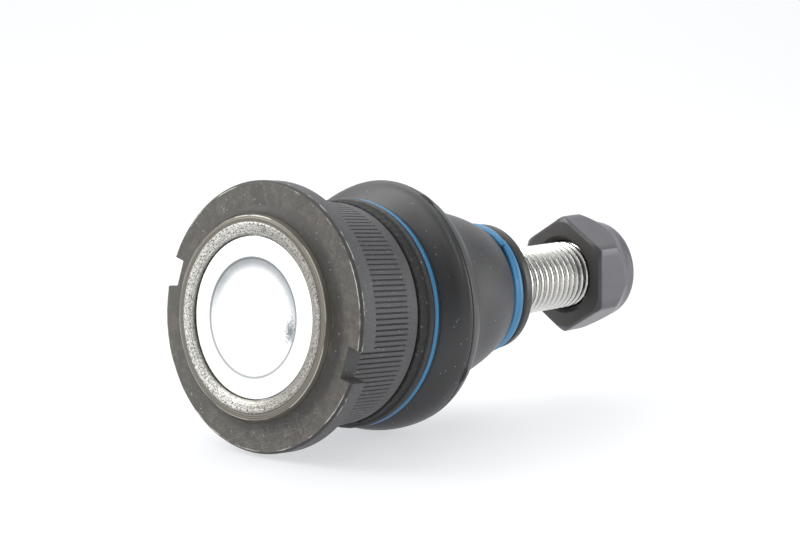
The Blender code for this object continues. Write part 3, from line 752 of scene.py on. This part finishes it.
def boot_profiles():
    """(bulge with its collar, cone with its lip), each a closed profile; they meet at the crease."""
    crease = cone_outline()[-1]
    inner_crease = (crease[0] - CONE_WALL, crease[1])
    large_floor = LARGE_RING_R - LARGE_RING_WIRE_R - GAP
    large_half = LARGE_RING_WIRE_R
    collar = rounded([
        boot_bulge(0.0, 78, -62, 48)[-1],
        (BOOT_COLLAR_R - 0.0001, LARGE_RING_STATION + large_half, 0.0003),
        (large_floor, LARGE_RING_STATION + large_half, 0.0002),
        (large_floor, LARGE_RING_STATION - large_half, 0.0002),
        (BOOT_COLLAR_R - 0.0001, LARGE_RING_STATION - large_half, 0.0002),
        (BOOT_COLLAR_R + 0.0001, BOOT_COLLAR_START + 0.0003, 0.0002),
        (BOOT_COLLAR_R - 0.0001, BOOT_COLLAR_START, 0.0002),
        (BOOT_BEAD_R, BOOT_COLLAR_START - 0.0002, 0.0002), (BOOT_BEAD_R, BODY_END + GAP, 0.0004),
        (SEAL_SHELF_R + GAP, BODY_END + GAP), (SEAL_SHELF_R + GAP, SEAL_GROOVE_START + GAP),
        (SEAL_GROOVE_R + GAP, SEAL_GROOVE_START + GAP), (SEAL_GROOVE_R + GAP, SEAL_GROOVE_END - GAP),
        (SEAL_SHELF_R + GAP, SEAL_GROOVE_END - GAP), (SEAL_SHELF_R + GAP, HOUSING_END),
    ])
    roll = dense(boot_bulge(0.0, 78, -62, 48), 0.00018)
    bulge = [crease] + roll[:-1] + collar + boot_bulge(BULGE_WALL, -50, 60, 10) + [inner_crease]

    small_floor, small_half = SMALL_RING_INNER_R - GAP, SMALL_RING_WIDTH / 2 + GAP
    lip = rounded([
        (BOOT_BORE_R, BOOT_END, 0.0004), (BOOT_LIP_R - 0.0002, BOOT_END, 0.0012),
        (BOOT_LIP_R + 0.0001, SMALL_RING_STATION + small_half + 0.0006, 0.0006),
        (small_floor, SMALL_RING_STATION + small_half - 0.0002, 0.0003),
        (small_floor, SMALL_RING_STATION - small_half, 0.0003),
        (BOOT_LIP_R, SMALL_RING_STATION - small_half, 0.0003),
    ], 6)
    inside = [(r - CONE_WALL, s) for r, s in cone_outline()[:1:-1]]
    cone = lip + cone_outline() + inside + [(BOOT_BORE_R, BOOT_BORE_START)]
    return bulge, cone


def boot_part(mesh, material):
    """One part of the boot, bent in place so that it turns from the housing's axis to the stud's between two
    stations; it rides on no body.
    """
    keep_places(mesh)
    mesh = finished(bent(mesh))
    mesh.materials.append(material)
    made = bpy.data.objects.new(mesh.name, mesh)
    bpy.context.scene.collection.objects.link(made)
    made.matrix_world = HOUSING
    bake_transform(made)
    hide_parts("boot")


def make_boot(bulge_material, cone_material):
    """The bulge and the cone, bent once in place: the bulge takes most of the turn from the housing's axis to the
    stud's, the cone the rest.
    """
    bulge, cone = boot_profiles()
    bulge_mesh = lathe("boot_bulge", bulge, BULGE_COLUMNS, shape=bulge_skin)
    boot_part(bulge_mesh, bulge_material)
    boot_part(lathe("boot_cone", cone), cone_material)


def make_small_ring(material):
    """A snap ring of flat wire, creased along its middle, whose ends pass each other."""
    overlap, columns, around = 7.0, 288, 24
    middle_r = (SMALL_RING_INNER_R + SMALL_RING_OUTER_R) / 2
    half_r, half_s = (SMALL_RING_OUTER_R - SMALL_RING_INNER_R) / 2, SMALL_RING_WIDTH / 2
    vertices = []
    for i in range(columns + 1):
        share = i / columns
        angle = math.radians(SMALL_RING_SPLIT + (360.0 + overlap) * share)
        near_start, near_end = (float(smooth_step(v, 0.86, 1.0)) for v in (1.0 - share, share))
        nose = min(1.0, 0.75 + 0.25 * min(share, 1.0 - share) * columns / 2.0)
        for k in range(around):
            turn = math.tau * k / around
            c, s = math.cos(turn), math.sin(turn)
            crease = 0.00016 * math.exp(-(((s + 0.25) / 0.12) ** 2)) if c > 0 else 0.0
            r = middle_r + 0.00030 * near_end + half_r * nose * math.copysign(abs(c) ** 0.6, c) - crease
            shift = 0.00042 * near_start - 0.00034 * near_end
            width = 0.95 - 0.33 * near_start - 0.28 * near_end
            z = SMALL_RING_STATION + shift + half_s * width * nose * math.copysign(abs(s) ** 0.8, s)
            vertices.append((r * math.cos(angle), r * math.sin(angle), z))
    faces = []
    for i in range(columns):
        for k in range(around):
            n = (k + 1) % around
            faces.append((i * around + k, i * around + n, (i + 1) * around + n, (i + 1) * around + k))
    faces.append(tuple(range(around)))
    faces.append(tuple(range(columns * around, (columns + 1) * around)))
    mesh = finished(mesh_of("small_ring", vertices, faces), 50.0)
    return piece("small_ring", mesh, STUD, "boot_neck", "boot_ring_small", [material])


# ---------------------------------------------------------------- stud and nut

def threaded(radius, station, angles):
    """The stud's radius: a right-hand thread that runs out towards the undercut."""
    radii = np.full(len(angles), radius)
    if station < UNDERCUT_END - 0.0002 or radius < THREAD_R - 1e-6:
        return radii
    depth = THREAD_DEPTH * smooth_step(station, UNDERCUT_END + 0.0004, UNDERCUT_END + 0.0035)
    phase = (station / THREAD_PITCH - angles / math.tau) % 1.0
    valley = np.clip(1.0 - np.abs(phase - 0.5) / 0.40, 0.0, 1.0)
    return radii - depth * smooth_step(valley, 0.0, 1.0)


def make_stud(material):
    neck = math.sqrt(BALL_R**2 - NECK_R**2)
    flat = -math.sqrt(BALL_R**2 - BALL_FLAT_R**2)
    tip = rounded([
        (0.0, STUD_END), (THREAD_R - 0.0010, STUD_END, 0.0002), (THREAD_R - 0.0003, STUD_END - 0.0007),
    ])
    rows = round((STUD_END - UNDERCUT_END) / THREAD_PITCH * 14)
    thread = [(THREAD_R, s) for s in np.linspace(STUD_END - 0.0010, UNDERCUT_END + 0.0006, rows)]
    shank = rounded([
        (THREAD_R - 0.0001, UNDERCUT_END + 0.0003), (UNDERCUT_R + 0.0004, UNDERCUT_END, 0.0005),
        (UNDERCUT_R + 0.0004, UNDERCUT_START, 0.0005), (TAPER_SMALL_R, UNDERCUT_START - 0.0009, 0.0002),
        (TAPER_SMALL_R, TAPER_END), (TAPER_LARGE_R, TAPER_START, 0.0006), (NECK_R, NECK_END, 0.003),
    ])
    ball = sphere(BALL_R, neck, flat, 40)
    profile = tip + thread + shank + ball + [(0.0, flat)]
    mesh = finished(lathe("stud_shank", profile, STUD_COLUMNS, closed=False, shape=threaded), 40.0)
    return piece("stud_shank", mesh, STUD, "stud", "ball_stud", [material])


def soft_least(a, b, width):
    """The smaller of two, rounded where they cross."""
    share = np.clip(0.5 + 0.5 * (b - a) / width, 0.0, 1.0)
    return b * (1 - share) + a * share - width * share * (1 - share)


def hexagonal(radius, station, angles):
    """The nut's radius: the turned outline cut by six flats, with rounded corners and near edges."""
    if radius < NUT_FACE_R - 0.0017:
        return np.full(len(angles), radius)
    off = (angles + math.radians(30)) % math.radians(60) - math.radians(30)
    into = max(0.0, NUT_EDGE_ROUND - (station - NUT_START))
    edge = NUT_EDGE_ROUND - math.sqrt(max(NUT_EDGE_ROUND**2 - into**2, 0.0))
    flats = soft_least(NUT_FLATS / 2 / np.cos(off), NUT_CORNER_R, 0.0007) - edge
    return soft_least(np.full(len(angles), radius), flats, 0.0004)


def make_nut(material):
    past = NUT_CORNER_R + 0.0006
    dome = dense(rounded([
        (NUT_COLLAR_MOUTH_R, NUT_END), (NUT_COLLAR_MOUTH_R + 0.0009, NUT_END, 0.01),
        (NUT_COLLAR_R - 0.0003, NUT_END - 0.0006, 0.01), (NUT_COLLAR_R, NUT_COLLAR, 0.01),
        (NUT_COLLAR_R + 0.0002, NUT_COLLAR - 0.0012, 0.01), (NUT_SHOULDER_R, NUT_SHOULDER, 0.01),
        (NUT_SHOULDER_R + 0.0010, NUT_SHOULDER - 0.0018, 0.01), (past, NUT_SHOULDER - 0.0040),
    ], 6), 0.00020)
    sides = dense([(past, NUT_SHOULDER - 0.0041), (past, NUT_START + NUT_EDGE_ROUND + 0.0001)], 0.0006)
    slope = math.tan(math.radians(30))
    rows = [NUT_START + NUT_EDGE_ROUND * (1 - math.sin(a)) for a in np.radians(np.linspace(0, 90, 12))]
    edge = [(min(past, NUT_FACE_R + (s - NUT_START) / slope), s) for s in rows]
    inside = rounded([
        (NUT_FACE_R - 0.0018, NUT_START), (NUT_SINK_R, NUT_START, 0.0002),
        (THREAD_R + GAP, NUT_START + NUT_SINK_DEPTH, 0.0002), (THREAD_R + GAP, INSERT_START - GAP),
        (INSERT_R + GAP, INSERT_START - GAP), (INSERT_R + GAP, INSERT_END + GAP),
        (NUT_COLLAR_MOUTH_R - GAP, INSERT_END + GAP, 0.0002), (NUT_COLLAR_MOUTH_R - GAP, NUT_END, 0.0002),
    ])
    mesh = finished(lathe("nut_body", dome + sides + edge + inside, NUT_COLUMNS, shape=hexagonal), 35.0)
    turn = Matrix.Rotation(math.radians(NUT_ANGLE), 4, "Z")
    return piece("nut_body", mesh, STUD @ turn, "nut", "lock_nut", [material])


def make_insert(material):
    profile = rounded([
        (THREAD_R + GAP, INSERT_END, 0.0003), (INSERT_R, INSERT_END, 0.0002),
        (INSERT_R, INSERT_START, 0.0002), (THREAD_R + GAP, INSERT_START, 0.0003),
    ], closed=True)
    mesh = finished(lathe("nylon_ring", profile, STUD_COLUMNS))
    return piece("nylon_ring", mesh, STUD, "nut_insert", "lock_nut_insert", [material])


# ---------------------------------------------------------------- studio

CAMERA_HEADING, CAMERA_PITCH, CAMERA_LENS = 39.9, -7.5, 76.5
CAMERA_BACK, CAMERA_RIGHT, CAMERA_UP = 0.32085, 0.01642, 0.00904
FLOOR_COLOR, FLOOR_GLOW, WORLD_GLOW = (0.36, 0.36, 0.365, 1.0), 0.58, 0.48

# Soft lights: right, up and ahead of the joint as the camera sees it, width, height, brightness
PANELS = {
    "top": (-0.12, 0.95, 0.35, 1.30, 1.30, 1.25),
    "key": (-0.65, 0.55, 0.00, 0.50, 0.50, 4.0),
    "left": (-0.75, 0.15, -0.15, 1.00, 0.55, 1.3),
    "right": (0.75, 0.17, 0.02, 0.42, 0.42, 3.3),
    "front": (0.08, 0.72, -0.69, 0.28, 0.75, 2.4),
}

heading = math.radians(CAMERA_HEADING)
AHEAD = Vector((math.cos(heading), math.sin(heading), 0.0))
RIGHT = Vector((math.sin(heading), -math.cos(heading), 0.0))


def make_camera():
    pitch = math.radians(CAMERA_PITCH)
    forward = AHEAD * math.cos(pitch) + Vector((0.0, 0.0, math.sin(pitch)))
    up = RIGHT.cross(forward)
    data = bpy.data.cameras.new("camera")
    data.lens, data.sensor_width, data.clip_start = CAMERA_LENS, 36.0, 0.01
    camera = bpy.data.objects.new("camera", data)
    bpy.context.scene.collection.objects.link(camera)
    place = BALL_CENTER + RIGHT * CAMERA_RIGHT + up * CAMERA_UP - forward * CAMERA_BACK
    camera.matrix_world = Matrix.Translation(place) @ Matrix((RIGHT, up, -forward)).transposed().to_4x4()
    bpy.context.scene.camera = camera


def panel(name, right, up, ahead, width, height, brightness):
    """A soft light aimed at the joint. A brightness of 1 is plain white."""
    data = bpy.data.lights.new(name, "AREA")
    data.shape, data.size, data.size_y = "RECTANGLE", width, height
    data.energy = brightness * math.pi * width * height
    light = bpy.data.objects.new(name, data)
    bpy.context.scene.collection.objects.link(light)
    aim = Vector((0.0, 0.0, 0.02))
    light.location = aim + RIGHT * right + AHEAD * ahead + Vector((0.0, 0.0, up))
    light.rotation_mode = "QUATERNION"
    light.rotation_quaternion = (aim - light.location).to_track_quat("-Z", "Y")


def make_floor():
    """A pale sweep: a floor that curves up behind the joint."""
    bend, depth, front, width, top, below = 0.5, 1.2, 1.5, 3.0, 1.6, 0.00002
    line = [(-front, 0.0), (depth - bend, 0.0)]
    turns = np.radians(np.arange(6, 91, 6))
    line += [(depth - bend + bend * math.sin(a), bend - bend * math.cos(a)) for a in turns]
    line.append((depth, top))
    corners = [(d, z - below, side * width / 2) for d, z in line for side in (-1, 1)]
    vertices = [AHEAD * d + RIGHT * aside + Vector((0.0, 0.0, z)) for d, z, aside in corners]
    faces = [(2 * i, 2 * i + 1, 2 * i + 3, 2 * i + 2) for i in range(len(line) - 1)]
    mesh = mesh_of("floor", vertices, faces)
    mesh.shade_smooth()
    floor = bpy.data.objects.new("floor", mesh)
    bpy.context.scene.collection.objects.link(floor)
    white = bpy.data.materials.new("floor_white")
    white.use_nodes = True
    shader = white.node_tree.nodes["Principled BSDF"]
    shader.inputs["Base Color"].default_value = FLOOR_COLOR
    shader.inputs["Roughness"].default_value = 0.6
    shader.inputs["Emission Color"].default_value = (0.97, 0.98, 1.0, 1.0)
    shader.inputs["Emission Strength"].default_value = FLOOR_GLOW
    mesh.materials.append(white)


def make_world():
    world = bpy.data.worlds.new("studio")
    world.use_nodes = True
    background = world.node_tree.nodes["Background"]
    background.inputs["Color"].default_value = (0.95, 0.97, 1.0, 1.0)
    background.inputs["Strength"].default_value = WORLD_GLOW
    bpy.context.scene.world = world


def make_studio():
    make_camera()
    make_floor()
    make_world()
    for name, (right, up, ahead, width, height, brightness) in PANELS.items():
        panel(name, right, up, ahead, width, height, brightness)
    view = bpy.context.scene.view_settings
    view.view_transform, view.look = "Standard", "None"


# ---------------------------------------------------------------- all of it

def give_material(node, material):
    slot = frame["nodes"][node].material_slots[0]
    slot.link = "OBJECT"
    slot.material = material


make_studio()
blue = blue_ring_plastic()
make_housing(phosphated_steel())
make_cover(zinc_cover())
make_large_ring(blue)
make_boot(black_rubber("bulge_rubber_look", bulge=True), black_rubber("cone_rubber_look"))
make_small_ring(blue)
make_stud(zinc_thread())
make_nut(black_nut_steel())
make_insert(nylon())
acetal = hidden_look("acetal_look", (0.72, 0.71, 0.67), (0.84, 0.83, 0.79), 0.0, 0.35)
give_material("rear_ball_seat", acetal)
give_material("front_ball_seat", acetal)
give_material("spring_ring", hidden_look("spring_look", (0.30, 0.30, 0.31), (0.46, 0.46, 0.48), 1.0, 0.28))
